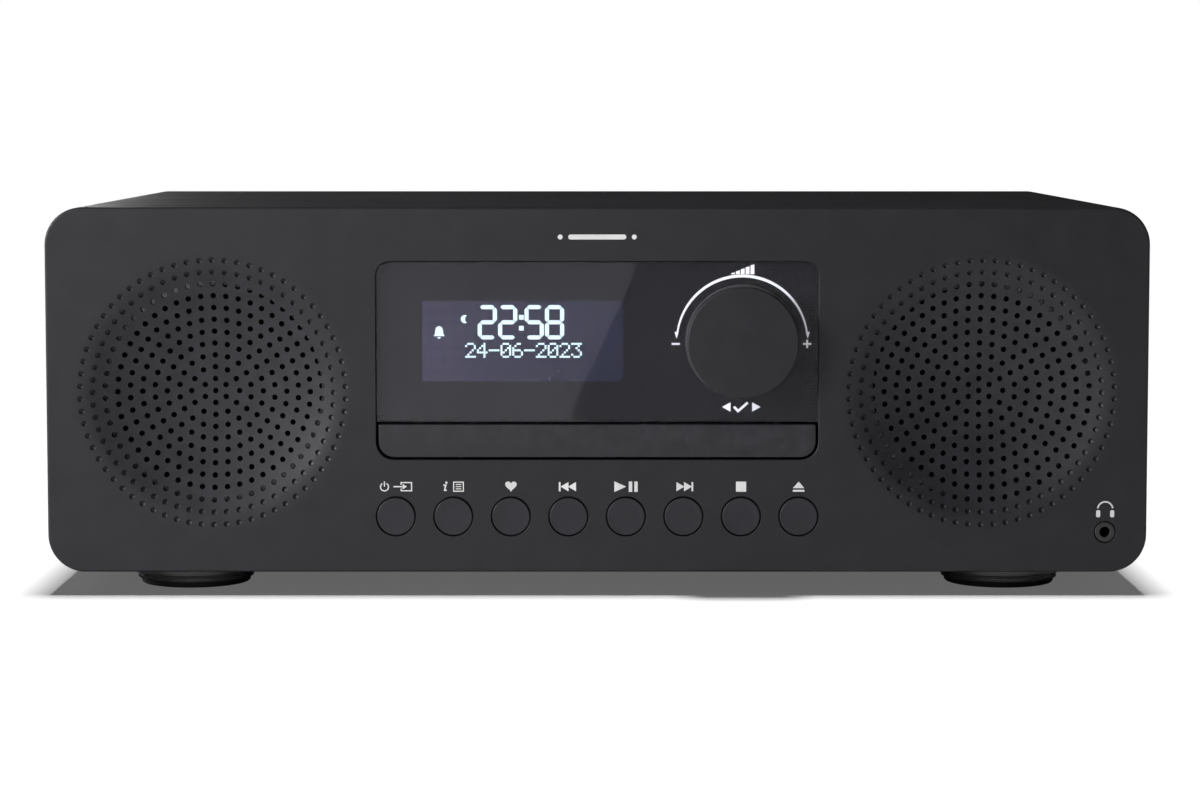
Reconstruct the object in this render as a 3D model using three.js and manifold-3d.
// Tabletop radio with a disc drawer, as it comes apart on a bench.
// Millimetres, +Z up, front towards -Y. The origin is on the table, under the middle of the object.
import * as THREE from "three";
import { mergeVertices } from "three/addons/utils/BufferGeometryUtils.js";
import Module from "manifold-3d";

// ---------------------------------------------------------------- driving sizes
const GAP = 0.3; // clearance between fixed pieces that meet

// Cabinet
const CABINET_WIDTH = 400;
const CABINET_DEPTH = 231;
const CABINET_HEIGHT = 132.8;
const CORNER_RADIUS = 13.6;
const CABINET_WALL = 6;
const BAFFLE_THICK = 3;
const BAFFLE_RIM_WALL = 2.5;
const BAFFLE_RIM_DEPTH = 8;
const REAR_INSET = 2;
const REAR_THICK = 3;
const REAR_SCREW_INSET = 13;
const SCREW_RADIUS = 1.5;
const SCREW_HEAD_RADIUS = 3.6;
const SCREW_HEAD_HEIGHT = 1.8;
const SCREW_LENGTH = 12;
const SCREW_POST_RADIUS = 6;
const SCREW_POST_FLOOR = 3; // plastic left beyond the screw's point
const SCREW_CROSS_HALF = 0.4;
const SCREW_CROSS_REACH = 2;
const SCREW_CROSS_DEPTH = 0.9;

// Feet
const FOOT_HEIGHT = 8.6;
const FOOT_RADIUS = 23.2;
const FOOT_INSET_X = 49;
const FOOT_INSET_Y = 38;
const PAD_RADIUS = 20.4;
const PAD_SHOW = 2.1;
const PAD_SEAT = 0.8;
const FOOT_EDGE = 0.6;
const PAD_EDGE = 0.5;

// Speaker dish and driver
const DISH_RADIUS = 51;
const DISH_SIDE_MARGIN = 9.5;
const DISH_DROP = 0.8;
const DISH_DEPTH = 9;
const DISH_BOWL_RADIUS = 125;
const DISH_WALL = 2.5;
const DRIVER_SEAT_DEPTH = 15;
const DRIVER_SEAT_WALL = 6;
const CONE_RADIUS = 30;
const SURROUND_WIDTH = 8;
const SURROUND_RISE = 0.75; // of half the roll's width
const CONE_THICK = 0.9;
const CONE_DEPTH = 15;
const DRIVER_FLANGE_THICK = 2.4;
const MAGNET_RADIUS = 27;
const MAGNET_HEIGHT = 16;
const CONE_TRAVEL = 2;
const FLANGE_TO_CONE = 1.6;
const FRAME_WALL = 1.5;
const FRAME_SKIRT = 4;
const FRAME_ROOM = 6; // behind the cone at the end of its travel
const FRAME_THROAT_LIP = 3;
const MAGNET_FACE = 2;
const VOICE_COIL_RADIUS = 18;
const DUST_CAP_RADIUS = 9;
const DUST_CAP_RISE = 4.5;
const CONE_NECK = 3;

// Window in the baffle for the lens and the drawer's front; heights are above the cabinet's underside
const WINDOW_HALF_WIDTH = 80.3;
const WINDOW_BOTTOM = 41.1;
const WINDOW_TOP = 113.3;
const WINDOW_TOP_RADIUS = 5.3;
const WINDOW_BOTTOM_RADIUS = 6.5;
const DOOR_GAP = 0.9;
const DOOR_HEIGHT = 12;
const DOOR_THICK = 3;
const LENS_GAP = 0.35;
const LENS_THICK = 2.2;
const LENS_BOTTOM_RADIUS = 0.5;
const CARRIER_FLANGE = 4;
const CARRIER_THICK = 2.6;
const LCD_WIDTH = 76;
const LCD_HEIGHT = 33;
const LCD_THICK = 3;
const LCD_X = -27.1;
const LCD_Z = 84.2;
const BOARD_THICK = 1.6;
const DISPLAY_BOARD_DEPTH = 12.3;
const DISPLAY_BOARD_INSET = 2;
const DISPLAY_CHIP = { x0: -40, x1: -22, halfHeight: 7, thick: 2 };

// Volume knob and its encoder
const KNOB_X = 52.6;
const KNOB_Z = 84.2;
const KNOB_RADIUS = 20.1;
const KNOB_GAP = 0.65;
const KNOB_PROUD = 7;
const KNOB_BEVEL = 0.6;
const KNOB_WALL = 2.2;
const KNOB_PUSH = 0.8;
const SHAFT_RADIUS = 3;
const SLEEVE_WALL = 1.3;
const BUSHING_WALL = 1.2;
const ENCODER_SIZE = 13;
const SLEEVE_LENGTH = 6;
const SHAFT_PAST_SLEEVE = 0.6;
const KNOB_BOSS_WALL = 2;

// Keys
const KEY_RADIUS = 6.8;
const KEY_GAP = 0.5;
const KEY_PITCH = 20.92;
const KEY_Z = 20.4;
const KEY_PROUD = 0.3;
const KEY_TRAVEL = 0.8;
const KEY_FLANGE = 1.4;
const KEY_FLANGE_THICK = 1.2;
const KEY_STEM_RADIUS = 2;
const KEY_EDGE = 0.35;
const KEY_BOARD_BELOW = 8;
const KEY_BOARD_ABOVE = 5;
const KEY_BOARD_DEPTH = 14.3;
const SWITCH_SIZE = 6;
const SWITCH_HEIGHT = 3;

// Headphone socket
const JACK_SIDE_MARGIN = 15.2;
const JACK_Z = 14.7;
const JACK_NOSE_RADIUS = 3.7;
const JACK_BODY = 8;
const JACK_DEPTH = 12;
const JACK_NOSE_INSET = 0.2;
const SOCKET_END_WALL = 1.5;
const PLUG_BORE_RADIUS = 1.9; // a 3.5 mm plug with clearance

// Disc drawer and loader; the disc is 120 mm across
const DISC_RECESS_RADIUS = 60.8;
const DISC_RECESS_DEPTH = 2.4;
const SMALL_DISC_RADIUS = 40.8;
const SMALL_DISC_DEPTH = 1;
const TRAY_WIDTH = 128;
const TRAY_LENGTH = 162;
const TRAY_THICK = 6;
const TRAY_DROP = 3; // from the top of the drawer's front to the top of the tray
const DISC_CENTRE = 72; // from the tray's front edge
const TRAY_FRONT_RADIUS = 1;
const TRAY_BACK_RADIUS = 4;
const DOOR_TOP_RADIUS = 0.6;
const TRAY_SIDE_GAP = 0.6;
const SLOT_HALF_WIDTH = 19;
const SLOT_LENGTH = 56;
const LOADER_START = 18;
const LOADER_LENGTH = 160;
const LOADER_WALL = 3;
const LOADER_FLOOR = 2;
const LEDGE_WIDTH = 6;
const LEDGE_THICK = 2.5;
const TRAY_TO_BRIDGE = 5.6;
const BRIDGE_THICK = 2;
const BRIDGE_WIDTH = 44;
const CLAMP_RADIUS = 14;
const CLAMP_NECK_RADIUS = 8;
const CLAMP_PUCK_THICK = 2.8;
const CLAMP_LIP_THICK = 1.6;
const CLAMP_LIP_INSET = 2;

// Gears
const TRAY_GEAR_MODULE = 1.2;
const TRAY_GEAR_TEETH = 16;
const SLED_GEAR_MODULE = 0.8;
const SLED_GEAR_TEETH = 14;
const BACKLASH = 0.35;
const PRESSURE_ANGLE = (20 * Math.PI) / 180;
const TRAY_GEAR_DEPTH = 30; // from the face to the gear's axle
const TRAY_RACK_X = 52;
const RACK_BAR = 3;
const TRAY_RACK_LEAD = 5; // rack in front of the gear's axle when the drawer is shut
const GEAR_THICK = 3;
const AXLE_RADIUS = 2;
const AXLE_SHOULDER = 2;

// Traverse deck under the disc
const DECK_HALF_WIDTH = 34;
const DECK_THICK = 2;
const DECK_DROP = 13.5; // from the tray's underside to the deck's top
const DECK_START = 42;
const DECK_HINGE = 150;
const HINGE_PIN_RADIUS = 1.5;
const HINGE_PIN_LENGTH = 4;
const SPINDLE_MOTOR_RADIUS = 12;
const SPINDLE_MOTOR_HEIGHT = 5.2;
const TURNTABLE_RADIUS = 13;
const TURNTABLE_DROP = 3; // from the tray's underside to the face that lifts the disc
const HUB_RADIUS = 7.3;
const SLED_WIDTH = 26;
const SLED_LENGTH = 20;
const SLED_HEIGHT = 7;
const SLED_START = 17; // from the disc's centre to the sled's near end, at rest
const SLED_TRAVEL = 33;
const SLED_GEAR_LEAD = 4; // from the far end of the sled's front edge travel to the gear's axle
const SLED_RACK_INSET = 1;
const LASER_RADIUS = 3.2;
const LASER_PROUD = 1.2;
const LASER_FROM_FRONT = 7;
const DECK_TAIL = 3;
const MOTOR_COLLAR_RADIUS = 5;
const MOTOR_COLLAR_HEIGHT = 2;
const TURNTABLE_THICK = 1.6;
const TURNTABLE_NECK_RADIUS = 3;
const HUB_TAPER = 0.8;
const HUB_HEIGHT = 2.4;
const TRAY_MOTOR = { inset: 14, radius: 8, height: 13, spindleRadius: 1.5, spindleTop: 16 };

// Telescopic aerial on the back
const AERIAL_SIDE_MARGIN = 30;
const AERIAL_Z = 111;
const AERIAL_LENGTH = 176;
const AERIAL_TUBE_RADIUS = 3.4;
const AERIAL_TUBE_WALL = 0.5;
const AERIAL_SLIDE_GAP = 0.35;
const AERIAL_OFFSET = 6.6; // from the rear panel to the tube's axis
const AERIAL_BASE_RADIUS = 8;
const AERIAL_EYE_RADIUS = 3;
const AERIAL_EAR_THICK = 2;
const AERIAL_PIN_RADIUS = 1.1;
const AERIAL_TIP_RADIUS = 3.2;
const AERIAL_TIP_LENGTH = 7;
const AERIAL_REST_INSET = 12; // from the tip's inner end to the middle of the shelf it lies on
const AERIAL_REST_WIDTH = 10;
const AERIAL_REST_THICK = 2;
const AERIAL_TONGUE_HALF = 1.8;
const TUBE_FROM_EYE = 3;
const AERIAL_BASE_HEIGHT = 1.2;
const AERIAL_YOKE_THICK = 1.4;
const AERIAL_YOKE_LIP = 0.6;
const AERIAL_STEP = 2; // each inner section starts this much further out

// Reflex ports, vents and sockets in the rear panel
const PORT_RADIUS = 17;
const PORT_WALL = 2;
const PORT_LENGTH = 55;
const PORT_FLARE = 6;
const VENT_COUNT = 9;
const VENT_WIDTH = 2.6;
const VENT_HEIGHT = 22;
const VENT_PITCH = 7;
const MAIN_BOARD_HALF_WIDTH = 78;
const MAIN_BOARD_Z = 10;
const MAIN_BOARD_LENGTH = 168;
const SOCKET_Z = 19;
const SOCKET_DEPTH = 13;
const SOCKET_INSET = 0.4;
const DC_INLET_X = -56;
const DC_INLET_HALF = 6;
const DC_BORE_RADIUS = 2.9;
const DC_PIN_RADIUS = 1;
const AUX_SOCKET_X = -28;
const AUX_BLOCK_HALF = 6;
const AUX_NOSE_RADIUS = 4.5;
const USB_SOCKET_X = 4;
const USB_HALF_WIDTH = 7.5;
const USB_HALF_HEIGHT = 3.6;
const USB_WALL = 0.9;
const USB_TONGUE_THICK = 1.8;

// Facets round a full turn
const FINE = 24;
const ROUND = 16;
const SMALL = 10;
const TINY = 8;
const CORNER_STEPS = 4;

// How far a cut runs past the face that it opens, and how deep a joined piece sinks into its neighbour
const PAST = 1;

// ---------------------------------------------------------------- places worked out from the sizes
const REAR_PROUD = AERIAL_OFFSET + AERIAL_TUBE_RADIUS - REAR_INSET;
const FACE_Y = KNOB_PROUD - (KNOB_PROUD + CABINET_DEPTH + REAR_PROUD) / 2;
const BACK_Y = FACE_Y + CABINET_DEPTH;
const PANEL_Y = BACK_Y - REAR_INSET;
const UNDERSIDE = FOOT_HEIGHT;
const DISH_X = CABINET_WIDTH / 2 - DISH_SIDE_MARGIN - DISH_RADIUS;
const DISH_Z = UNDERSIDE + CABINET_HEIGHT / 2 - DISH_DROP;
const DOOR_BOTTOM = UNDERSIDE + WINDOW_BOTTOM + DOOR_GAP;
const DOOR_TOP = DOOR_BOTTOM + DOOR_HEIGHT;
const LENS_BOTTOM = DOOR_TOP + DOOR_GAP;
const TRAY_TOP = DOOR_TOP - TRAY_DROP;
const TRAY_BOTTOM = TRAY_TOP - TRAY_THICK;
const TRAY_FRONT = FACE_Y + DOOR_THICK + GAP;
const DISC_Y = TRAY_FRONT + DISC_CENTRE;
const BRIDGE_Z = TRAY_TOP + TRAY_TO_BRIDGE;
const DECK_TOP = TRAY_BOTTOM - DECK_DROP;
const LOADER_INNER = TRAY_WIDTH / 2 + TRAY_SIDE_GAP;
const LOADER_BOTTOM = DECK_TOP - DECK_THICK - SPINDLE_MOTOR_HEIGHT - LOADER_FLOOR - 1;
const GEAR_Z = TRAY_BOTTOM - GEAR_THICK - 2 * GAP;

// ---------------------------------------------------------------- solid helpers
const wasm = await Module();
wasm.setup();

// A closed geometry as a solid that can be joined and cut.
function solid(geometry) {
  const bare = geometry.clone();
  bare.deleteAttribute("normal");
  bare.deleteAttribute("uv");
  const merged = mergeVertices(bare, 1e-4);
  const vertProperties = merged.attributes.position.array;
  const triVerts = new Uint32Array(merged.index.array);
  return new wasm.Manifold(new wasm.Mesh({ numProp: 3, vertProperties, triVerts }));
}

// A solid's surface as a geometry.
function surface(body) {
  const mesh = body.getMesh();
  const geometry = new THREE.BufferGeometry();
  geometry.setAttribute("position", new THREE.BufferAttribute(mesh.vertProperties, 3));
  geometry.setIndex(new THREE.BufferAttribute(mesh.triVerts, 1));
  geometry.computeVertexNormals();
  return geometry;
}

function box(x0, x1, y0, y1, z0, z1) {
  const block = new THREE.BoxGeometry(x1 - x0, y1 - y0, z1 - z0);
  return solid(block.translate((x0 + x1) / 2, (y0 + y1) / 2, (z0 + z1) / 2));
}

// A round bar along Y, from y0 to y1.
function barY(radius, y0, y1, x, z, facets) {
  const bar = new THREE.CylinderGeometry(radius, radius, y1 - y0, facets);
  return solid(bar.translate(x, (y0 + y1) / 2, z));
}

// A round bar along Z, from z0 to z1.
function barZ(radius, z0, z1, x, y, facets) {
  const bar = new THREE.CylinderGeometry(radius, radius, z1 - z0, facets);
  return solid(bar.rotateX(Math.PI / 2).translate(x, y, (z0 + z1) / 2));
}

// A round bar along X, from x0 to x1.
function barX(radius, x0, x1, y, z, facets) {
  const bar = new THREE.CylinderGeometry(radius, radius, x1 - x0, facets);
  return solid(bar.rotateZ(Math.PI / 2).translate((x0 + x1) / 2, y, z));
}

// A profile of [radius, height] pairs turned about Z.
function turned(profile, facets) {
  const points = profile.map(([r, h]) => new THREE.Vector2(r, h));
  return solid(new THREE.LatheGeometry(points, facets).rotateX(Math.PI / 2));
}

// A profile of [radius, depth] pairs turned about Y, with depth along +Y.
function turnedY(profile, facets) {
  const points = profile.map(([r, d]) => new THREE.Vector2(r, d));
  return solid(new THREE.LatheGeometry(points, facets));
}

// An upright outline in X and Z, from y0 to y1.
function slab(outline, y0, y1) {
  const options = { depth: y1 - y0, bevelEnabled: false, curveSegments: CORNER_STEPS };
  const plate = new THREE.ExtrudeGeometry(outline, options);
  return solid(plate.rotateX(Math.PI / 2).translate(0, y1, 0));
}

// A flat outline in X and Y, from z0 to z1.
function plate(outline, z0, z1) {
  const options = { depth: z1 - z0, bevelEnabled: false, curveSegments: CORNER_STEPS };
  return solid(new THREE.ExtrudeGeometry(outline, options).translate(0, 0, z0));
}

// A rectangle whose lower corners have one radius and whose upper corners have another.
function roundedRect(x0, x1, z0, z1, lower, upper) {
  const outline = new THREE.Shape();
  outline.moveTo(x0 + lower, z0);
  outline.lineTo(x1 - lower, z0);
  outline.absarc(x1 - lower, z0 + lower, lower, -Math.PI / 2, 0);
  outline.lineTo(x1, z1 - upper);
  outline.absarc(x1 - upper, z1 - upper, upper, 0, Math.PI / 2);
  outline.lineTo(x0 + upper, z1);
  outline.absarc(x0 + upper, z1 - upper, upper, Math.PI / 2, Math.PI);
  outline.lineTo(x0, z0 + lower);
  outline.absarc(x0 + lower, z0 + lower, lower, Math.PI, 1.5 * Math.PI);
  return outline;
}

// The cabinet's outline, set in by a margin all round.
function cabinetOutline(inset) {
  const half = CABINET_WIDTH / 2 - inset;
  const radius = CORNER_RADIUS - inset;
  const top = UNDERSIDE + CABINET_HEIGHT - inset;
  return roundedRect(-half, half, UNDERSIDE + inset, top, radius, radius);
}

// An involute spur gear's outline, with the middle of a gap towards +X.
function gearOutline(module, teeth) {
  const pitch = (module * teeth) / 2;
  const base = pitch * Math.cos(PRESSURE_ANGLE);
  const tip = pitch + module;
  const root = pitch - 1.25 * module;
  const involute = (angle) => Math.tan(angle) - angle;
  const thinned = Math.PI / (2 * teeth) - BACKLASH / (4 * pitch);
  const halfAngle = (r) => {
    const roll = Math.acos(Math.min(1, base / r));
    return thinned + involute(PRESSURE_ANGLE) - involute(roll);
  };
  const radii = [root, Math.max(base, root), pitch, tip];
  const points = [];
  for (let tooth = 0; tooth < teeth; tooth++) {
    const middle = ((tooth + 0.5) * 2 * Math.PI) / teeth;
    const rising = radii.map((r) => [r, middle - halfAngle(Math.max(r, base))]);
    const falling = radii.map((r) => [r, middle + halfAngle(Math.max(r, base))]).reverse();
    for (const [r, angle] of [...rising, ...falling]) {
      points.push(new THREE.Vector2(r * Math.cos(angle), r * Math.sin(angle)));
    }
  }
  return new THREE.Shape(points);
}

// A rack along Y whose teeth point to -X; pitchX is its pitch line and one tooth is centred on phaseY.
function rackOutline(module, pitchX, y0, y1, phaseY) {
  const pitch = Math.PI * module;
  const slope = Math.tan(PRESSURE_ANGLE);
  const halfTooth = pitch / 4 - BACKLASH / 4;
  const rootX = pitchX + 1.25 * module;
  const tipX = pitchX - module;
  const atRoot = halfTooth + 1.25 * module * slope;
  const atTip = halfTooth - module * slope;
  const points = [new THREE.Vector2(rootX + RACK_BAR, y1), new THREE.Vector2(rootX + RACK_BAR, y0)];
  points.push(new THREE.Vector2(rootX, y0));
  const first = Math.ceil((y0 + atRoot - phaseY) / pitch);
  const last = Math.floor((y1 - atRoot - phaseY) / pitch);
  for (let tooth = first; tooth <= last; tooth++) {
    const y = phaseY + tooth * pitch;
    points.push(new THREE.Vector2(rootX, y - atRoot), new THREE.Vector2(tipX, y - atTip));
    points.push(new THREE.Vector2(tipX, y + atTip), new THREE.Vector2(rootX, y + atRoot));
  }
  points.push(new THREE.Vector2(rootX, y1));
  return new THREE.Shape(points.reverse());
}

// ---------------------------------------------------------------- materials
function finish(color, roughness, metalness) {
  return new THREE.MeshStandardMaterial({ color, roughness, metalness });
}

const mattBlack = finish(0x2b2b2e, 0.6, 0);
const softBlack = finish(0x242427, 0.7, 0);
const glossBlack = finish(0x0c0c0e, 0.12, 0);
const rubber = finish(0x151515, 0.9, 0);
const tintedLens = finish(0x17171c, 0.08, 0);
const glass = finish(0x3c3a5a, 0.2, 0);
const board = finish(0x1f5a38, 0.6, 0);
const greyPlastic = finish(0x3a3a3e, 0.6, 0);
const whitePlastic = finish(0xd8d6cf, 0.5, 0);
const steel = finish(0xb4b6b8, 0.35, 1);
const chrome = finish(0xd8dadc, 0.12, 1);
const paper = finish(0x1c1c1e, 0.9, 0);

// ---------------------------------------------------------------- assembly
const radio = new THREE.Group();

// Adds a named piece to a group, with its own copy of the material.
function add(parent, name, body, material) {
  const mesh = new THREE.Mesh(surface(body), material.clone());
  mesh.name = name;
  parent.add(mesh);
  return mesh;
}

// ---------------------------------------------------------------- cabinet
const screwPlaces = [-1, 1].flatMap((side) =>
  [-1, 1].map((level) => ({
    side,
    level,
    x: side * (CABINET_WIDTH / 2 - REAR_SCREW_INSET),
    z: DISH_Z + DISH_DROP + level * (CABINET_HEIGHT / 2 - REAR_SCREW_INSET),
  })),
);

function cabinetShell() {
  const front = FACE_Y + BAFFLE_THICK + GAP;
  const outline = cabinetOutline(0);
  outline.holes.push(cabinetOutline(CABINET_WALL));
  let shell = slab(outline, front, BACK_Y);
  const postBack = PANEL_Y - REAR_THICK - GAP;
  const postLength = SCREW_LENGTH + SCREW_POST_FLOOR;
  for (const { side, level, x, z } of screwPlaces) {
    const reach = REAR_SCREW_INSET - PAST;
    const web = box(
      Math.min(x, x + side * reach),
      Math.max(x, x + side * reach),
      postBack - postLength,
      postBack,
      z - SCREW_POST_RADIUS / 2,
      z + SCREW_POST_RADIUS / 2,
    );
    const post = barY(SCREW_POST_RADIUS, postBack - postLength, postBack, x, z, SMALL);
    const prop = box(
      x - SCREW_POST_RADIUS / 2,
      x + SCREW_POST_RADIUS / 2,
      postBack - postLength,
      postBack,
      Math.min(z, z + level * reach),
      Math.max(z, z + level * reach),
    );
    shell = shell.add(post).add(web).add(prop);
  }
  shell = shell.intersect(slab(cabinetOutline(0), front, BACK_Y));
  for (const { x, z } of screwPlaces) {
    shell = shell.subtract(
      barY(SCREW_RADIUS + GAP, postBack - SCREW_LENGTH, postBack + PAST, x, z, TINY),
    );
  }
  return shell;
}

// Depth of the dish below the face at a radius: a spherical bowl that a convex rim carries up to the face.
function dishDepth(r) {
  const square = DISH_RADIUS ** 2 + DISH_DEPTH ** 2;
  const rimRadius = square / (2 * DISH_DEPTH) - DISH_BOWL_RADIUS;
  const meet = (DISH_RADIUS * DISH_BOWL_RADIUS) / (DISH_BOWL_RADIUS + rimRadius);
  if (r > meet) {
    return rimRadius - Math.sqrt(rimRadius ** 2 - (DISH_RADIUS - r) ** 2);
  }
  return DISH_DEPTH - DISH_BOWL_RADIUS + Math.sqrt(DISH_BOWL_RADIUS ** 2 - r ** 2);
}

// The dish's surface as a profile from the axis to the rim, pushed back by an offset.
function dishProfile(offset) {
  const steps = 5;
  const profile = [];
  for (let step = 0; step <= steps; step++) {
    const r = (DISH_RADIUS * step) / steps;
    profile.push([r, dishDepth(r) + offset]);
  }
  return profile;
}

function frontBaffle() {
  let body = slab(cabinetOutline(0), FACE_Y, FACE_Y + BAFFLE_THICK);
  const rimOutline = cabinetOutline(CABINET_WALL + GAP);
  rimOutline.holes.push(cabinetOutline(CABINET_WALL + GAP + BAFFLE_RIM_WALL));
  const rimStart = FACE_Y + BAFFLE_THICK - PAST;
  const rimEnd = FACE_Y + BAFFLE_THICK + BAFFLE_RIM_DEPTH;
  body = body.add(slab(rimOutline, rimStart, rimEnd));
  const jackX = CABINET_WIDTH / 2 - JACK_SIDE_MARGIN;
  const jackZ = UNDERSIDE + JACK_Z;
  const room = JACK_BODY / 2 + GAP;
  const jackRoom = [jackX - room, jackX + room, FACE_Y + BAFFLE_THICK, rimEnd + PAST];
  body = body.subtract(box(...jackRoom, jackZ - room, jackZ + room));
  const bulge = turnedY([[0, PAST], [DISH_RADIUS, PAST], ...dishProfile(DISH_WALL).reverse()], FINE);
  const seatInner = DISH_RADIUS - DRIVER_SEAT_WALL;
  const seat = turnedY(
    [
      [seatInner, PAST],
      [DISH_RADIUS, PAST],
      [DISH_RADIUS, DRIVER_SEAT_DEPTH],
      [seatInner, DRIVER_SEAT_DEPTH],
      [seatInner, PAST],
    ],
    FINE,
  );
  const bowl = turnedY([[0, -PAST], [DISH_RADIUS, -PAST], ...dishProfile(0).reverse()], FINE);
  for (const side of [-1, 1]) {
    body = body.add(bulge.translate([side * DISH_X, FACE_Y, DISH_Z]));
    body = body.add(seat.translate([side * DISH_X, FACE_Y, DISH_Z]));
    body = body.subtract(bowl.translate([side * DISH_X, FACE_Y, DISH_Z]));
  }
  const through = [FACE_Y - PAST, FACE_Y + BAFFLE_THICK + PAST];
  const windowOutline = roundedRect(
    -WINDOW_HALF_WIDTH,
    WINDOW_HALF_WIDTH,
    UNDERSIDE + WINDOW_BOTTOM,
    UNDERSIDE + WINDOW_TOP,
    WINDOW_BOTTOM_RADIUS,
    WINDOW_TOP_RADIUS,
  );
  body = body.subtract(slab(windowOutline, ...through));
  for (const x of keyPlaces) {
    body = body.subtract(barY(KEY_RADIUS + KEY_GAP, ...through, x, UNDERSIDE + KEY_Z, ROUND));
  }
  return body.subtract(barY(JACK_NOSE_RADIUS + GAP, ...through, jackX, jackZ, SMALL));
}

// ---------------------------------------------------------------- rear panel
function socketHoles() {
  const z = UNDERSIDE + SOCKET_Z;
  const through = [PANEL_Y - REAR_THICK - PAST, PANEL_Y + PAST];
  const dcHalf = DC_INLET_HALF + GAP;
  const dc = box(DC_INLET_X - dcHalf, DC_INLET_X + dcHalf, ...through, z - dcHalf, z + dcHalf);
  const aux = barY(AUX_NOSE_RADIUS + GAP, ...through, AUX_SOCKET_X, z, SMALL);
  const usbHalf = USB_HALF_WIDTH + GAP;
  const usbReach = USB_HALF_HEIGHT + GAP;
  const usb = box(USB_SOCKET_X - usbHalf, USB_SOCKET_X + usbHalf, ...through, z - usbReach, z + usbReach);
  return dc.add(aux).add(usb);
}

function rearPanel() {
  let panel = slab(cabinetOutline(CABINET_WALL + GAP), PANEL_Y - REAR_THICK, PANEL_Y);
  const mouth = PORT_RADIUS + PORT_FLARE;
  const flareSteps = 3;
  const flare = [];
  for (let step = 0; step <= flareSteps; step++) {
    const angle = (step / flareSteps) * (Math.PI / 2);
    flare.push([mouth - PORT_FLARE * Math.cos(angle), PORT_FLARE * Math.sin(angle) - PORT_FLARE]);
  }
  const tube = turnedY(
    [
      [0, -PORT_LENGTH],
      [PORT_RADIUS + PORT_WALL, -PORT_LENGTH],
      [PORT_RADIUS + PORT_WALL, -PORT_FLARE - PORT_WALL],
      [mouth + PORT_WALL, -PORT_WALL],
      [mouth + PORT_WALL, 0],
      [0, 0],
    ],
    ROUND,
  );
  const throat = turnedY(
    [[0, -PORT_LENGTH - PAST], [PORT_RADIUS, -PORT_LENGTH - PAST], ...flare, [mouth, PAST], [0, PAST]],
    ROUND,
  );
  for (const side of [-1, 1]) {
    panel = panel.add(tube.translate([side * DISH_X, PANEL_Y, DISH_Z]));
    panel = panel.subtract(throat.translate([side * DISH_X, PANEL_Y, DISH_Z]));
  }
  const through = [PANEL_Y - REAR_THICK - PAST, PANEL_Y + PAST];
  const ventTop = UNDERSIDE + CABINET_HEIGHT / 2 + VENT_HEIGHT / 2;
  for (let vent = 0; vent < VENT_COUNT; vent++) {
    const x = (vent - (VENT_COUNT - 1) / 2) * VENT_PITCH;
    const half = VENT_WIDTH / 2;
    panel = panel.subtract(box(x - half, x + half, ...through, ventTop - VENT_HEIGHT, ventTop));
  }
  panel = panel.subtract(socketHoles());
  for (const { x, z } of screwPlaces) {
    panel = panel.subtract(barY(SCREW_RADIUS + GAP, ...through, x, z, TINY));
  }
  const restTop = AERIAL_PLACE.z - AERIAL_TIP_RADIUS - GAP;
  const restX = AERIAL_PLACE.x - AERIAL_LENGTH + AERIAL_TIP_LENGTH + AERIAL_REST_INSET;
  const half = AERIAL_REST_WIDTH / 2;
  const lip = PANEL_Y + AERIAL_OFFSET + AERIAL_TUBE_RADIUS;
  const shelf = box(restX - half, restX + half, PANEL_Y - PAST, lip, restTop - AERIAL_REST_THICK, restTop);
  return panel.add(shelf);
}

const AERIAL_PLACE = {
  x: CABINET_WIDTH / 2 - AERIAL_SIDE_MARGIN,
  y: PANEL_Y,
  z: UNDERSIDE + AERIAL_Z,
};

function rearScrew() {
  const head = barY(SCREW_HEAD_RADIUS, GAP, GAP + SCREW_HEAD_HEIGHT, 0, 0, SMALL);
  const shank = barY(SCREW_RADIUS, PAST - SCREW_LENGTH, GAP + PAST, 0, 0, TINY);
  const crossY = [GAP + SCREW_HEAD_HEIGHT - SCREW_CROSS_DEPTH, GAP + SCREW_HEAD_HEIGHT + PAST];
  const [thin, long] = [SCREW_CROSS_HALF, SCREW_CROSS_REACH];
  const upright = box(-thin, thin, ...crossY, -long, long);
  const level = box(-long, long, ...crossY, -thin, thin);
  return head.add(shank).subtract(upright).subtract(level);
}

// ---------------------------------------------------------------- feet
function foot() {
  const top = FOOT_HEIGHT - GAP;
  return turned(
    [
      [0, PAD_SHOW + PAD_SEAT],
      [PAD_RADIUS + GAP, PAD_SHOW + PAD_SEAT],
      [PAD_RADIUS + GAP, PAD_SHOW],
      [FOOT_RADIUS - FOOT_EDGE, PAD_SHOW],
      [FOOT_RADIUS, PAD_SHOW + FOOT_EDGE],
      [FOOT_RADIUS, top],
      [0, top],
    ],
    FINE,
  );
}

function footPad() {
  const inner = PAD_RADIUS - PAD_EDGE;
  const top = PAD_SHOW + PAD_SEAT - GAP;
  return turned([[0, 0], [inner, 0], [PAD_RADIUS, PAD_EDGE], [PAD_RADIUS, top], [0, top]], FINE);
}

// ---------------------------------------------------------------- display and knob
const keyPlaces = [...Array(8)].map((_, index) => (index - 3.5) * KEY_PITCH);
const KNOB_HOLE_RADIUS = KNOB_RADIUS + KNOB_GAP;

function displayLens() {
  const outline = roundedRect(
    LENS_GAP - WINDOW_HALF_WIDTH,
    WINDOW_HALF_WIDTH - LENS_GAP,
    LENS_BOTTOM,
    UNDERSIDE + WINDOW_TOP - LENS_GAP,
    LENS_BOTTOM_RADIUS,
    WINDOW_TOP_RADIUS - LENS_GAP,
  );
  const through = [FACE_Y - PAST, FACE_Y + LENS_THICK + PAST];
  const hole = barY(KNOB_HOLE_RADIUS, ...through, KNOB_X, UNDERSIDE + KNOB_Z, FINE);
  return slab(outline, FACE_Y, FACE_Y + LENS_THICK).subtract(hole);
}

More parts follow.
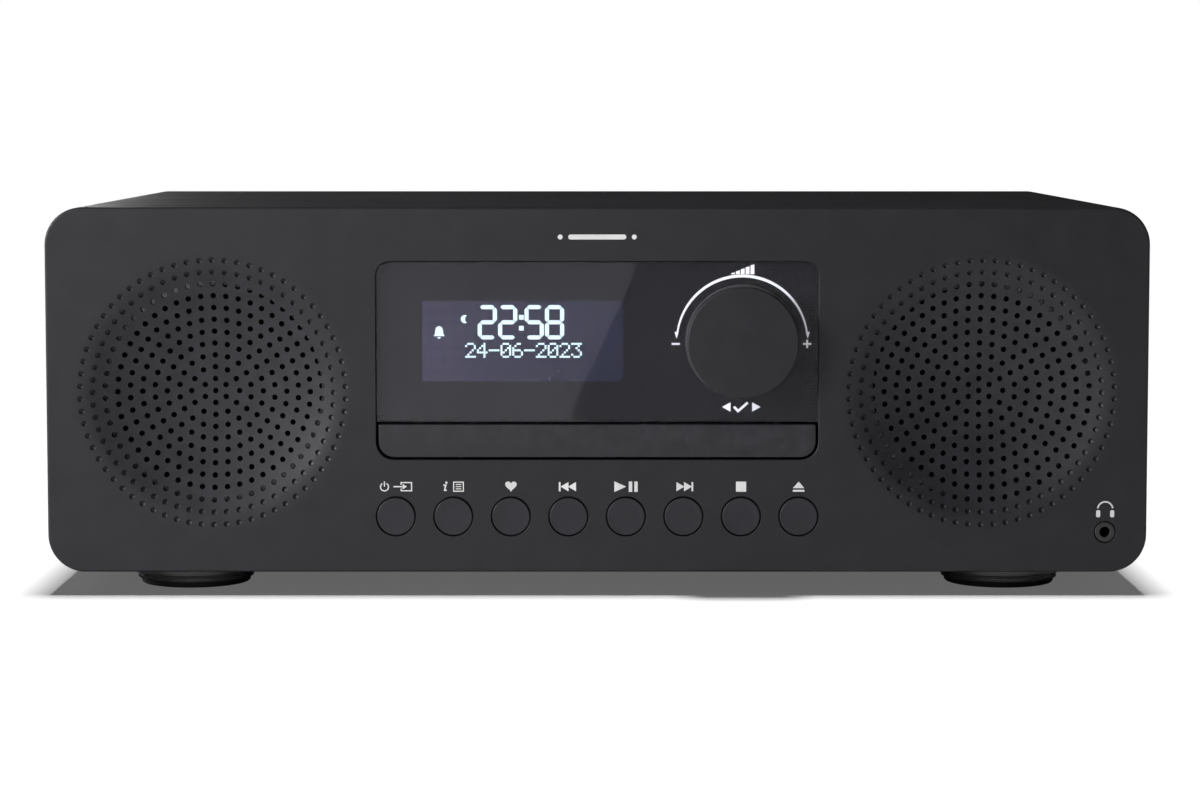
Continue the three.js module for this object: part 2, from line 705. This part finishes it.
function displayCarrier() {
  const front = FACE_Y + LENS_THICK + GAP;
  const flangeFront = FACE_Y + BAFFLE_THICK + GAP;
  const back = flangeFront + CARRIER_THICK;
  const inner = WINDOW_HALF_WIDTH - LENS_GAP;
  const outer = WINDOW_HALF_WIDTH + CARRIER_FLANGE;
  const top = UNDERSIDE + WINDOW_TOP;
  const boss = slab(
    roundedRect(-inner, inner, LENS_BOTTOM, top - LENS_GAP, LENS_BOTTOM_RADIUS, WINDOW_TOP_RADIUS - LENS_GAP),
    front,
    back,
  );
  const flange = slab(
    roundedRect(-outer, outer, LENS_BOTTOM, top + CARRIER_FLANGE, LENS_BOTTOM_RADIUS, WINDOW_TOP_RADIUS),
    flangeFront,
    back,
  );
  const halfWidth = LCD_WIDTH / 2 + GAP;
  const halfHeight = LCD_HEIGHT / 2 + GAP;
  const z = UNDERSIDE + LCD_Z;
  const through = [front - PAST, back + PAST];
  const pocket = box(LCD_X - halfWidth, LCD_X + halfWidth, ...through, z - halfHeight, z + halfHeight);
  const bushing = SHAFT_RADIUS + SLEEVE_WALL + BUSHING_WALL + 3 * GAP;
  const hole = barY(bushing, ...through, KNOB_X, UNDERSIDE + KNOB_Z, SMALL);
  return boss.add(flange).subtract(pocket).subtract(hole);
}

function lcdPanel() {
  const y0 = FACE_Y + LENS_THICK + GAP;
  const z = UNDERSIDE + LCD_Z;
  const [w, h] = [LCD_WIDTH / 2, LCD_HEIGHT / 2];
  return box(LCD_X - w, LCD_X + w, y0, y0 + LCD_THICK, z - h, z + h);
}

function displayBoard() {
  const y0 = FACE_Y + DISPLAY_BOARD_DEPTH;
  const bottom = LENS_BOTTOM + DISPLAY_BOARD_INSET;
  const half = WINDOW_HALF_WIDTH - DISPLAY_BOARD_INSET;
  const back = y0 + BOARD_THICK;
  const { x0, x1, halfHeight, thick } = DISPLAY_CHIP;
  const z = UNDERSIDE + LCD_Z;
  const chip = box(x0, x1, back - PAST, back + thick, z - halfHeight, z + halfHeight);
  return box(-half, half, y0, back, bottom, UNDERSIDE + WINDOW_TOP).add(chip);
}

// Knob, shaft, sleeve and encoder are made on the knob's axis, with depth along +Y from the face.
const KNOB_BACK = LENS_THICK + GAP - KNOB_PUSH - 2 * GAP;

function volumeKnob() {
  const front = -KNOB_PROUD;
  const bore = SHAFT_RADIUS + GAP;
  const boss = bore + KNOB_BOSS_WALL;
  return turnedY(
    [
      [0, front],
      [KNOB_RADIUS - KNOB_BEVEL, front],
      [KNOB_RADIUS, front + KNOB_BEVEL],
      [KNOB_RADIUS, KNOB_BACK],
      [KNOB_RADIUS - KNOB_WALL, KNOB_BACK],
      [KNOB_RADIUS - KNOB_WALL, front + KNOB_WALL],
      [boss, front + KNOB_WALL],
      [boss, KNOB_BACK],
      [bore, KNOB_BACK],
      [bore, front + KNOB_WALL],
      [0, front + KNOB_WALL],
    ],
    FINE,
  );
}

const SLEEVE_FRONT = KNOB_BACK + GAP;
const SLEEVE_BACK = SLEEVE_FRONT + SLEEVE_LENGTH;
const SHAFT_BACK = SLEEVE_BACK + SHAFT_PAST_SLEEVE;
const ENCODER_BACK = DISPLAY_BOARD_DEPTH - GAP;
const ENCODER_FRONT = BAFFLE_THICK + GAP + CARRIER_THICK + GAP;

function encoderShaft() {
  return barY(SHAFT_RADIUS, KNOB_WALL + GAP - KNOB_PROUD, SHAFT_BACK, 0, 0, SMALL);
}

function encoderSleeve() {
  const inner = SHAFT_RADIUS + GAP;
  const outer = inner + SLEEVE_WALL;
  return turnedY(
    [
      [inner, SLEEVE_FRONT],
      [outer, SLEEVE_FRONT],
      [outer, SLEEVE_BACK],
      [inner, SLEEVE_BACK],
      [inner, SLEEVE_FRONT],
    ],
    SMALL,
  );
}

function encoderBody() {
  const bore = SHAFT_RADIUS + SLEEVE_WALL + 2 * GAP;
  const half = ENCODER_SIZE / 2;
  const bushingFront = KNOB_BACK + KNOB_PUSH + 2 * GAP;
  const block = box(-half, half, ENCODER_FRONT, ENCODER_BACK, -half, half);
  const bushing = barY(bore + BUSHING_WALL, bushingFront, ENCODER_FRONT + PAST, 0, 0, SMALL);
  const hole = barY(bore, bushingFront - PAST, SHAFT_BACK + KNOB_PUSH + GAP, 0, 0, SMALL);
  return block.add(bushing).subtract(hole);
}

// ---------------------------------------------------------------- keys
const KEY_STEM_END = KEY_BOARD_DEPTH - SWITCH_HEIGHT - KEY_TRAVEL - GAP;

function key() {
  const flangeFront = BAFFLE_THICK + GAP;
  const flangeBack = flangeFront + KEY_FLANGE_THICK;
  return turnedY(
    [
      [0, -KEY_PROUD],
      [KEY_RADIUS - KEY_EDGE, -KEY_PROUD],
      [KEY_RADIUS, KEY_EDGE - KEY_PROUD],
      [KEY_RADIUS, flangeFront],
      [KEY_RADIUS + KEY_FLANGE, flangeFront],
      [KEY_RADIUS + KEY_FLANGE, flangeBack],
      [KEY_STEM_RADIUS, flangeBack],
      [KEY_STEM_RADIUS, KEY_STEM_END],
      [0, KEY_STEM_END],
    ],
    ROUND,
  );
}

function keyBoard() {
  const y0 = FACE_Y + KEY_BOARD_DEPTH;
  const z = UNDERSIDE + KEY_Z;
  const half = 4 * KEY_PITCH;
  let body = box(-half, half, y0, y0 + BOARD_THICK, z - KEY_BOARD_BELOW, z + KEY_BOARD_ABOVE);
  for (const x of keyPlaces) {
    const s = SWITCH_SIZE / 2;
    body = body.add(box(x - s, x + s, y0 - SWITCH_HEIGHT, y0 + PAST, z - s, z + s));
  }
  return body;
}

// ---------------------------------------------------------------- sockets and boards
function headphoneSocket() {
  const x = CABINET_WIDTH / 2 - JACK_SIDE_MARGIN;
  const z = UNDERSIDE + JACK_Z;
  const half = JACK_BODY / 2;
  const front = FACE_Y + BAFFLE_THICK + GAP;
  const nose = barY(JACK_NOSE_RADIUS, FACE_Y + JACK_NOSE_INSET, front + PAST, x, z, SMALL);
  const block = box(x - half, x + half, front, front + JACK_DEPTH, z - half, z + half);
  const bore = barY(PLUG_BORE_RADIUS, FACE_Y - PAST, front + JACK_DEPTH - SOCKET_END_WALL, x, z, TINY);
  return block.add(nose).subtract(bore);
}

// The rear sockets' outer ends sit just inside the rear panel's face.
const SOCKET_BACK = PANEL_Y - SOCKET_INSET;

function dcInlet() {
  const z = UNDERSIDE + SOCKET_Z;
  const x = DC_INLET_X;
  const half = DC_INLET_HALF;
  const block = box(x - half, x + half, SOCKET_BACK - SOCKET_DEPTH, SOCKET_BACK, z - half, z + half);
  const boreEnd = SOCKET_BACK - SOCKET_DEPTH + SOCKET_END_WALL;
  const bore = barY(DC_BORE_RADIUS, boreEnd, SOCKET_BACK + PAST, x, z, TINY);
  const pin = barY(DC_PIN_RADIUS, boreEnd - PAST, SOCKET_BACK - PAST, x, z, TINY);
  return block.subtract(bore).add(pin);
}

function auxSocket() {
  const z = UNDERSIDE + SOCKET_Z;
  const x = AUX_SOCKET_X;
  const half = AUX_BLOCK_HALF;
  const front = SOCKET_BACK - SOCKET_DEPTH;
  const inner = PANEL_Y - REAR_THICK - GAP;
  const block = box(x - half, x + half, front, inner, z - half, z + half);
  const nose = barY(AUX_NOSE_RADIUS, inner - PAST, SOCKET_BACK, x, z, SMALL);
  const bore = barY(PLUG_BORE_RADIUS, front + SOCKET_END_WALL, SOCKET_BACK + PAST, x, z, TINY);
  return block.add(nose).subtract(bore);
}

function usbSocket() {
  const z = UNDERSIDE + SOCKET_Z;
  const x = USB_SOCKET_X;
  const front = SOCKET_BACK - SOCKET_DEPTH;
  const [w, h] = [USB_HALF_WIDTH, USB_HALF_HEIGHT];
  const [slotW, slotH] = [w - USB_WALL, h - USB_WALL];
  const slotEnd = front + SOCKET_END_WALL;
  const shell = box(x - w, x + w, front, SOCKET_BACK, z - h, z + h);
  const slot = box(x - slotW, x + slotW, slotEnd, SOCKET_BACK + PAST, z - slotH, z + slotH);
  const tongueHalf = slotW - USB_WALL;
  const tongueZ = [z, z + USB_TONGUE_THICK];
  const tongue = box(x - tongueHalf, x + tongueHalf, slotEnd - PAST, SOCKET_BACK - PAST, ...tongueZ);
  return shell.subtract(slot).add(tongue);
}

// The parts on the board are blocks and cans, measured from the board's rear edge.
const TUNER = { x: 49, behind: 26, width: 30, length: 40, height: 4 };
const HEAT_SINK = { x: -52, behind: 101, width: 36, length: 14, height: 8 };
const CAPACITORS = [
  { x: -56, behind: 34, radius: 6, height: 7 },
  { x: -38, behind: 34, radius: 5, height: 6 },
  { x: -20, behind: 38, radius: 4, height: 5 },
];

function mainBoard() {
  const z0 = UNDERSIDE + MAIN_BOARD_Z;
  const top = z0 + BOARD_THICK;
  const rear = PANEL_Y - REAR_THICK - GAP;
  const half = MAIN_BOARD_HALF_WIDTH;
  let body = box(-half, half, rear - MAIN_BOARD_LENGTH, rear, z0, top);
  for (const { x, behind, width, length, height } of [TUNER, HEAT_SINK]) {
    const y = rear - behind;
    const sides = [x - width / 2, x + width / 2, y - length / 2, y + length / 2];
    body = body.add(box(...sides, top - PAST, top + height));
  }
  for (const { x, behind, radius, height } of CAPACITORS) {
    body = body.add(barZ(radius, top - PAST, top + height, x, rear - behind, SMALL));
  }
  return body;
}

// ------------------------------------------------ speaker driver on its own axis, depth along +Y
const DRIVER_FRONT = DRIVER_SEAT_DEPTH + GAP;
const CONE_FRONT = DRIVER_FRONT + DRIVER_FLANGE_THICK + FLANGE_TO_CONE;
const SURROUND_OUTER = CONE_RADIUS + SURROUND_WIDTH;
const DRIVER_BACK = CONE_FRONT + CONE_DEPTH + CONE_TRAVEL + FRAME_ROOM;

function driver() {
  const flange = DISH_RADIUS - 1;
  const inner = SURROUND_OUTER + GAP;
  const skirtEnd = CONE_FRONT + FRAME_SKIRT;
  return turnedY(
    [
      [inner, DRIVER_FRONT],
      [flange, DRIVER_FRONT],
      [flange, DRIVER_FRONT + DRIVER_FLANGE_THICK],
      [inner + FRAME_WALL, DRIVER_FRONT + DRIVER_FLANGE_THICK],
      [inner + FRAME_WALL, skirtEnd],
      [VOICE_COIL_RADIUS + FRAME_WALL + FRAME_THROAT_LIP, DRIVER_BACK],
      [MAGNET_RADIUS, DRIVER_BACK],
      [MAGNET_RADIUS, DRIVER_BACK + MAGNET_HEIGHT],
      [0, DRIVER_BACK + MAGNET_HEIGHT],
      [0, DRIVER_BACK + MAGNET_FACE],
      [VOICE_COIL_RADIUS, DRIVER_BACK + MAGNET_FACE],
      [inner, skirtEnd],
      [inner, DRIVER_FRONT],
    ],
    ROUND,
  );
}

function cone() {
  const back = CONE_FRONT + CONE_DEPTH;
  return turnedY(
    [
      [0, back - DUST_CAP_RISE],
      [DUST_CAP_RADIUS * 0.6, back - 0.75 * DUST_CAP_RISE],
      [DUST_CAP_RADIUS, back - 0.6 - CONE_THICK],
      [CONE_RADIUS, CONE_FRONT],
      [CONE_RADIUS, CONE_FRONT + CONE_THICK],
      [DUST_CAP_RADIUS, back + CONE_THICK],
      [DUST_CAP_RADIUS, back + CONE_NECK],
      [0, back + CONE_NECK],
    ],
    ROUND,
  );
}

function surround() {
  const middle = (CONE_RADIUS + SURROUND_OUTER) / 2;
  const half = SURROUND_WIDTH / 2 - GAP;
  const outer = [];
  const inner = [];
  const steps = 3;
  for (let step = 0; step <= steps; step++) {
    const angle = (step / steps) * Math.PI;
    const r = middle - half * Math.cos(angle);
    const front = CONE_FRONT - half * SURROUND_RISE * Math.sin(angle);
    outer.push([r, front]);
    inner.push([r, front + CONE_THICK]);
  }
  return turnedY([...outer, ...inner.reverse(), outer[0]], ROUND);
}

// ---------------------------------------------------------------- disc drawer
const TRAY_GEAR_RADIUS = (TRAY_GEAR_MODULE * TRAY_GEAR_TEETH) / 2;
const TRAY_GEAR_PLACE = {
  x: TRAY_RACK_X - TRAY_GEAR_RADIUS,
  y: FACE_Y + TRAY_GEAR_DEPTH,
};

function trayDoor() {
  const half = WINDOW_HALF_WIDTH - DOOR_GAP;
  const lowerRadius = WINDOW_BOTTOM_RADIUS - DOOR_GAP;
  const outline = roundedRect(-half, half, DOOR_BOTTOM, DOOR_TOP, lowerRadius, DOOR_TOP_RADIUS);
  return slab(outline, FACE_Y, FACE_Y + DOOR_THICK);
}

function discTray() {
  const half = TRAY_WIDTH / 2;
  const back = TRAY_FRONT + TRAY_LENGTH;
  const outline = roundedRect(-half, half, TRAY_FRONT, back, TRAY_FRONT_RADIUS, TRAY_BACK_RADIUS);
  let body = plate(outline, TRAY_BOTTOM, TRAY_TOP);
  const recessFloor = TRAY_TOP - DISC_RECESS_DEPTH;
  body = body.subtract(barZ(DISC_RECESS_RADIUS, recessFloor, TRAY_TOP + PAST, 0, DISC_Y, FINE));
  const smallFloor = recessFloor - SMALL_DISC_DEPTH;
  body = body.subtract(barZ(SMALL_DISC_RADIUS, smallFloor, TRAY_TOP + PAST, 0, DISC_Y, ROUND));
  const [z0, z1] = [TRAY_BOTTOM - PAST, TRAY_TOP + PAST];
  body = body.subtract(barZ(SLOT_HALF_WIDTH, z0, z1, 0, DISC_Y, ROUND));
  const slotEnd = DISC_Y + SLOT_LENGTH;
  body = body.subtract(box(-SLOT_HALF_WIDTH, SLOT_HALF_WIDTH, DISC_Y, slotEnd, z0, z1));
  const rack = rackOutline(
    TRAY_GEAR_MODULE,
    TRAY_RACK_X,
    TRAY_GEAR_PLACE.y - TRAY_RACK_LEAD,
    back,
    TRAY_GEAR_PLACE.y,
  );
  return body.add(plate(rack, GEAR_Z, TRAY_BOTTOM + PAST));
}

function gear(module, teeth) {
  const wheel = plate(gearOutline(module, teeth), 0, GEAR_THICK);
  return wheel.subtract(barZ(AXLE_RADIUS + GAP, -PAST, GEAR_THICK + PAST, 0, 0, SMALL));
}

// ---------------------------------------------------------------- loader
const LOADER_FRONT = FACE_Y + LOADER_START;
const LOADER_BACK = LOADER_FRONT + LOADER_LENGTH;
const HINGE_Y = FACE_Y + DECK_HINGE;
const HINGE_Z = DECK_TOP - DECK_THICK / 2;
const HINGE_EAR = 3;
const HINGE_EAR_HALF = 4;

function loaderChassis() {
  const outer = LOADER_INNER + LOADER_WALL;
  const floorTop = LOADER_BOTTOM + LOADER_FLOOR;
  const wallTop = BRIDGE_Z - GAP;
  const ledgeTop = TRAY_BOTTOM - GAP;
  let body = box(-outer, outer, LOADER_FRONT, LOADER_BACK, LOADER_BOTTOM, floorTop);
  for (const side of [-1, 1]) {
    const wall = [side * LOADER_INNER, side * outer].sort((a, b) => a - b);
    body = body.add(box(...wall, LOADER_FRONT, LOADER_BACK, LOADER_BOTTOM, wallTop));
    const ledge = [side * (LOADER_INNER - LEDGE_WIDTH), side * (LOADER_INNER + PAST)].sort((a, b) => a - b);
    body = body.add(box(...ledge, LOADER_FRONT, LOADER_BACK, ledgeTop - LEDGE_THICK, ledgeTop));
    const earInner = DECK_HALF_WIDTH + 2 * GAP;
    const ear = [side * earInner, side * (earInner + HINGE_EAR)].sort((a, b) => a - b);
    const earY = [HINGE_Y - HINGE_EAR_HALF, HINGE_Y + HINGE_EAR_HALF];
    body = body.add(box(...ear, ...earY, LOADER_BOTTOM, HINGE_Z + HINGE_EAR_HALF));
  }
  const reach = DECK_HALF_WIDTH + 2 * GAP + HINGE_EAR + PAST;
  body = body.subtract(barX(HINGE_PIN_RADIUS + GAP, -reach, reach, HINGE_Y, HINGE_Z, SMALL));
  const { x, y } = TRAY_GEAR_PLACE;
  body = body.add(barZ(AXLE_RADIUS + AXLE_SHOULDER, LOADER_BOTTOM, GEAR_Z - GAP, x, y, SMALL));
  return body.add(barZ(AXLE_RADIUS, LOADER_BOTTOM, GEAR_Z + GEAR_THICK - GAP, x, y, SMALL));
}

function clampBridge() {
  const outer = LOADER_INNER + LOADER_WALL;
  const half = BRIDGE_WIDTH / 2;
  const strap = box(-outer, outer, DISC_Y - half, DISC_Y + half, BRIDGE_Z, BRIDGE_Z + BRIDGE_THICK);
  const through = [BRIDGE_Z - PAST, BRIDGE_Z + BRIDGE_THICK + PAST];
  const hole = barZ(CLAMP_NECK_RADIUS + 2 * GAP, ...through, 0, DISC_Y, ROUND);
  return strap.subtract(hole);
}

function discClamp() {
  const below = BRIDGE_Z - GAP;
  const above = BRIDGE_Z + BRIDGE_THICK + GAP;
  const puck = below - CLAMP_PUCK_THICK;
  const lip = above + CLAMP_LIP_THICK;
  const lipRadius = CLAMP_RADIUS - CLAMP_LIP_INSET;
  return turned(
    [
      [0, puck],
      [CLAMP_RADIUS, puck],
      [CLAMP_RADIUS, below],
      [CLAMP_NECK_RADIUS, below],
      [CLAMP_NECK_RADIUS, above],
      [lipRadius, above],
      [lipRadius, lip],
      [0, lip],
    ],
    ROUND,
  );
}

const SLED_GEAR_RADIUS = (SLED_GEAR_MODULE * SLED_GEAR_TEETH) / 2;
const SLED_RACK_PITCH_X = -SLED_WIDTH / 2 - 1.25 * SLED_GEAR_MODULE;
const SLED_FRONT = DISC_Y + SLED_START;
const SLED_GEAR_PLACE = {
  x: SLED_RACK_PITCH_X - SLED_GEAR_RADIUS,
  y: SLED_FRONT + SLED_TRAVEL + SLED_GEAR_LEAD,
};
const SLED_BOTTOM = DECK_TOP + 2 * GAP;
const SLED_GEAR_Z = DECK_TOP + GAP;
const SLED_RACK_END = SLED_GEAR_PLACE.y + SLED_GEAR_LEAD;

function traverseDeck() {
  const half = DECK_HALF_WIDTH;
  const bottom = DECK_TOP - DECK_THICK;
  const motorBottom = bottom - SPINDLE_MOTOR_HEIGHT;
  let body = box(-half, half, FACE_Y + DECK_START, HINGE_Y + DECK_TAIL, bottom, DECK_TOP);
  body = body.add(barZ(SPINDLE_MOTOR_RADIUS, motorBottom, DECK_TOP, 0, DISC_Y, ROUND));
  const collarTop = DECK_TOP + MOTOR_COLLAR_HEIGHT;
  body = body.add(barZ(MOTOR_COLLAR_RADIUS, bottom, collarTop, 0, DISC_Y, SMALL));
  const reach = half + HINGE_PIN_LENGTH;
  body = body.add(barX(HINGE_PIN_RADIUS, -reach, reach, HINGE_Y, HINGE_Z, SMALL));
  const { x, y } = SLED_GEAR_PLACE;
  return body.add(barZ(AXLE_RADIUS, bottom, SLED_GEAR_Z + GEAR_THICK - GAP, x, y, SMALL));
}

function turntable() {
  const top = TRAY_BOTTOM - TURNTABLE_DROP;
  const foot = DECK_TOP + MOTOR_COLLAR_HEIGHT + GAP;
  return turned(
    [
      [0, foot],
      [TURNTABLE_NECK_RADIUS, foot],
      [TURNTABLE_NECK_RADIUS, top - TURNTABLE_THICK],
      [TURNTABLE_RADIUS, top - TURNTABLE_THICK],
      [TURNTABLE_RADIUS, top],
      [HUB_RADIUS, top],
      [HUB_RADIUS - HUB_TAPER, top + HUB_HEIGHT],
      [0, top + HUB_HEIGHT],
    ],
    ROUND,
  );
}

function laserSled() {
  const half = SLED_WIDTH / 2;
  const back = SLED_FRONT + SLED_LENGTH;
  const top = SLED_BOTTOM + SLED_HEIGHT;
  let body = box(-half, half, SLED_FRONT, back, SLED_BOTTOM, top);
  const laserY = SLED_FRONT + LASER_FROM_FRONT;
  body = body.add(barZ(LASER_RADIUS, top - PAST, top + LASER_PROUD, 0, laserY, SMALL));
  const rack = rackOutline(
    SLED_GEAR_MODULE,
    SLED_RACK_PITCH_X,
    SLED_FRONT + SLED_RACK_INSET,
    SLED_RACK_END,
    SLED_GEAR_PLACE.y,
  );
  return body.add(plate(rack, SLED_BOTTOM, SLED_BOTTOM + GEAR_THICK - GAP));
}

function trayMotor() {
  const { inset, radius, height, spindleRadius, spindleTop } = TRAY_MOTOR;
  const x = inset - LOADER_INNER;
  const y = LOADER_FRONT + inset;
  const z0 = LOADER_BOTTOM + LOADER_FLOOR + GAP;
  const can = barZ(radius, z0, z0 + height, x, y, ROUND);
  return can.add(barZ(spindleRadius, z0 + height - PAST, z0 + spindleTop, x, y, TINY));
}

// ------------------------------------------------ aerial: along -X from its pivot, +Y off the panel
const TUBE_BORE = AERIAL_TUBE_RADIUS - AERIAL_TUBE_WALL;
const MIDDLE_RADIUS = TUBE_BORE - AERIAL_SLIDE_GAP;
const MIDDLE_BORE = MIDDLE_RADIUS - AERIAL_TUBE_WALL;
const ROD_RADIUS = MIDDLE_BORE - AERIAL_SLIDE_GAP;
const TUBE_START = AERIAL_EYE_RADIUS + TUBE_FROM_EYE;
const TUBE_END = AERIAL_LENGTH - AERIAL_TIP_LENGTH - GAP;
const EAR_INNER = AERIAL_EYE_RADIUS + GAP;

function aerialBase() {
  return barY(AERIAL_BASE_RADIUS, GAP, GAP + AERIAL_BASE_HEIGHT, 0, 0, ROUND);
}

function aerialYoke() {
  const start = 2 * GAP + AERIAL_BASE_HEIGHT;
  const radius = EAR_INNER + AERIAL_EAR_THICK + AERIAL_YOKE_LIP;
  let body = barY(radius, start, start + AERIAL_YOKE_THICK, 0, 0, ROUND);
  const half = AERIAL_EYE_RADIUS;
  for (const side of [-1, 1]) {
    const ear = [side * EAR_INNER, side * (EAR_INNER + AERIAL_EAR_THICK)].sort((a, b) => a - b);
    body = body.add(box(-half, half, start, AERIAL_OFFSET, ...ear));
    body = body.add(barZ(half, ...ear, 0, AERIAL_OFFSET, SMALL));
  }
  const pinEnd = EAR_INNER + PAST;
  return body.add(barZ(AERIAL_PIN_RADIUS, -pinEnd, pinEnd, 0, AERIAL_OFFSET, TINY));
}

function aerialTube() {
  const y = AERIAL_OFFSET;
  const half = AERIAL_EYE_RADIUS;
  const eye = barZ(half, -half, half, 0, y, SMALL);
  const tongueY = [y - AERIAL_TONGUE_HALF, y + AERIAL_TONGUE_HALF];
  const tongue = box(-TUBE_START - PAST, 0, ...tongueY, -half, half);
  const tube = barX(AERIAL_TUBE_RADIUS, -TUBE_END, -TUBE_START, y, 0, SMALL);
  const bore = barX(TUBE_BORE, -TUBE_END - PAST, -TUBE_START - AERIAL_STEP, y, 0, SMALL);
  const pinHole = barZ(AERIAL_PIN_RADIUS + GAP, -half - PAST, half + PAST, 0, y, TINY);
  return eye.add(tongue).add(tube).subtract(bore).subtract(pinHole);
}

function aerialMiddle() {
  const start = TUBE_START + AERIAL_STEP + GAP;
  const body = barX(MIDDLE_RADIUS, -TUBE_END, -start, AERIAL_OFFSET, 0, SMALL);
  const boreStart = start + AERIAL_STEP;
  return body.subtract(barX(MIDDLE_BORE, -TUBE_END - PAST, -boreStart, AERIAL_OFFSET, 0, SMALL));
}

function aerialRod() {
  const start = TUBE_START + 2 * AERIAL_STEP + 2 * GAP;
  const rod = barX(ROD_RADIUS, -TUBE_END - PAST, -start, AERIAL_OFFSET, 0, TINY);
  return rod.add(barX(AERIAL_TIP_RADIUS, -AERIAL_LENGTH, -TUBE_END - GAP, AERIAL_OFFSET, 0, SMALL));
}

// ---------------------------------------------------------------- putting it together
add(radio, "cabinet_shell", cabinetShell(), mattBlack);
add(radio, "front_baffle", frontBaffle(), mattBlack);
add(radio, "rear_panel", rearPanel(), softBlack);

for (const { side, level, x, z } of screwPlaces) {
  const name = `rear_screw_${level > 0 ? "upper" : "lower"}_${side > 0 ? "right" : "left"}`;
  add(radio, name, rearScrew(), steel).position.set(x, PANEL_Y, z);
}

for (const side of [-1, 1]) {
  for (const end of ["front", "rear"]) {
    const name = `${end}_${side > 0 ? "right" : "left"}`;
    const corner = new THREE.Group();
    const y = end === "front" ? FACE_Y + FOOT_INSET_Y : BACK_Y - FOOT_INSET_Y;
    corner.position.set(side * (CABINET_WIDTH / 2 - FOOT_INSET_X), y, 0);
    add(corner, `foot_${name}`, foot(), glossBlack);
    add(corner, `foot_pad_${name}`, footPad(), rubber);
    radio.add(corner);
  }
}

for (const side of [-1, 1]) {
  const hand = side > 0 ? "right" : "left";
  const speaker = new THREE.Group();
  speaker.position.set(side * DISH_X, FACE_Y, DISH_Z);
  add(speaker, `speaker_driver_${hand}`, driver(), steel);
  add(speaker, `speaker_cone_${hand}`, cone(), paper);
  add(speaker, `speaker_surround_${hand}`, surround(), rubber);
  radio.add(speaker);
}

add(radio, "display_lens", displayLens(), tintedLens);
add(radio, "display_carrier", displayCarrier(), greyPlastic);
add(radio, "lcd_panel", lcdPanel(), glass);
add(radio, "display_board", displayBoard(), board);

const knobAxis = new THREE.Group();
knobAxis.position.set(KNOB_X, FACE_Y, UNDERSIDE + KNOB_Z);
add(knobAxis, "volume_knob", volumeKnob(), softBlack);
add(knobAxis, "encoder_shaft", encoderShaft(), steel);
add(knobAxis, "encoder_sleeve", encoderSleeve(), steel);
add(knobAxis, "encoder_body", encoderBody(), greyPlastic);
radio.add(knobAxis);

const keyNames = ["power", "info", "favourite", "previous", "play", "next", "stop", "eject"];
keyNames.forEach((name, index) => {
  add(radio, `${name}_key`, key(), mattBlack).position.set(keyPlaces[index], FACE_Y, UNDERSIDE + KEY_Z);
});
add(radio, "key_board", keyBoard(), board);

add(radio, "headphone_socket", headphoneSocket(), greyPlastic);
add(radio, "dc_inlet", dcInlet(), greyPlastic);
add(radio, "aux_socket", auxSocket(), greyPlastic);
add(radio, "usb_socket", usbSocket(), steel);
add(radio, "main_board", mainBoard(), board);

add(radio, "tray_door", trayDoor(), mattBlack);
add(radio, "disc_tray", discTray(), softBlack);
add(radio, "loader_chassis", loaderChassis(), greyPlastic);
add(radio, "clamp_bridge", clampBridge(), steel);
add(radio, "disc_clamp", discClamp(), whitePlastic).position.set(0, DISC_Y, 0);
add(radio, "traverse_deck", traverseDeck(), steel);
add(radio, "turntable", turntable(), whitePlastic).position.set(0, DISC_Y, 0);
add(radio, "laser_sled", laserSled(), greyPlastic);
add(radio, "tray_motor", trayMotor(), steel);

const trayGear = add(radio, "tray_gear", gear(TRAY_GEAR_MODULE, TRAY_GEAR_TEETH), whitePlastic);
trayGear.position.set(TRAY_GEAR_PLACE.x, TRAY_GEAR_PLACE.y, GEAR_Z);
const sledGear = add(radio, "sled_gear", gear(SLED_GEAR_MODULE, SLED_GEAR_TEETH), whitePlastic);
sledGear.position.set(SLED_GEAR_PLACE.x, SLED_GEAR_PLACE.y, SLED_GEAR_Z);

const aerial = new THREE.Group();
aerial.position.set(AERIAL_PLACE.x, AERIAL_PLACE.y, AERIAL_PLACE.z);
add(aerial, "aerial_base", aerialBase(), softBlack);
add(aerial, "aerial_yoke", aerialYoke(), softBlack);
add(aerial, "aerial_tube", aerialTube(), chrome);
add(aerial, "aerial_middle", aerialMiddle(), chrome);
add(aerial, "aerial_rod", aerialRod(), chrome);
radio.add(aerial);

export default radio;
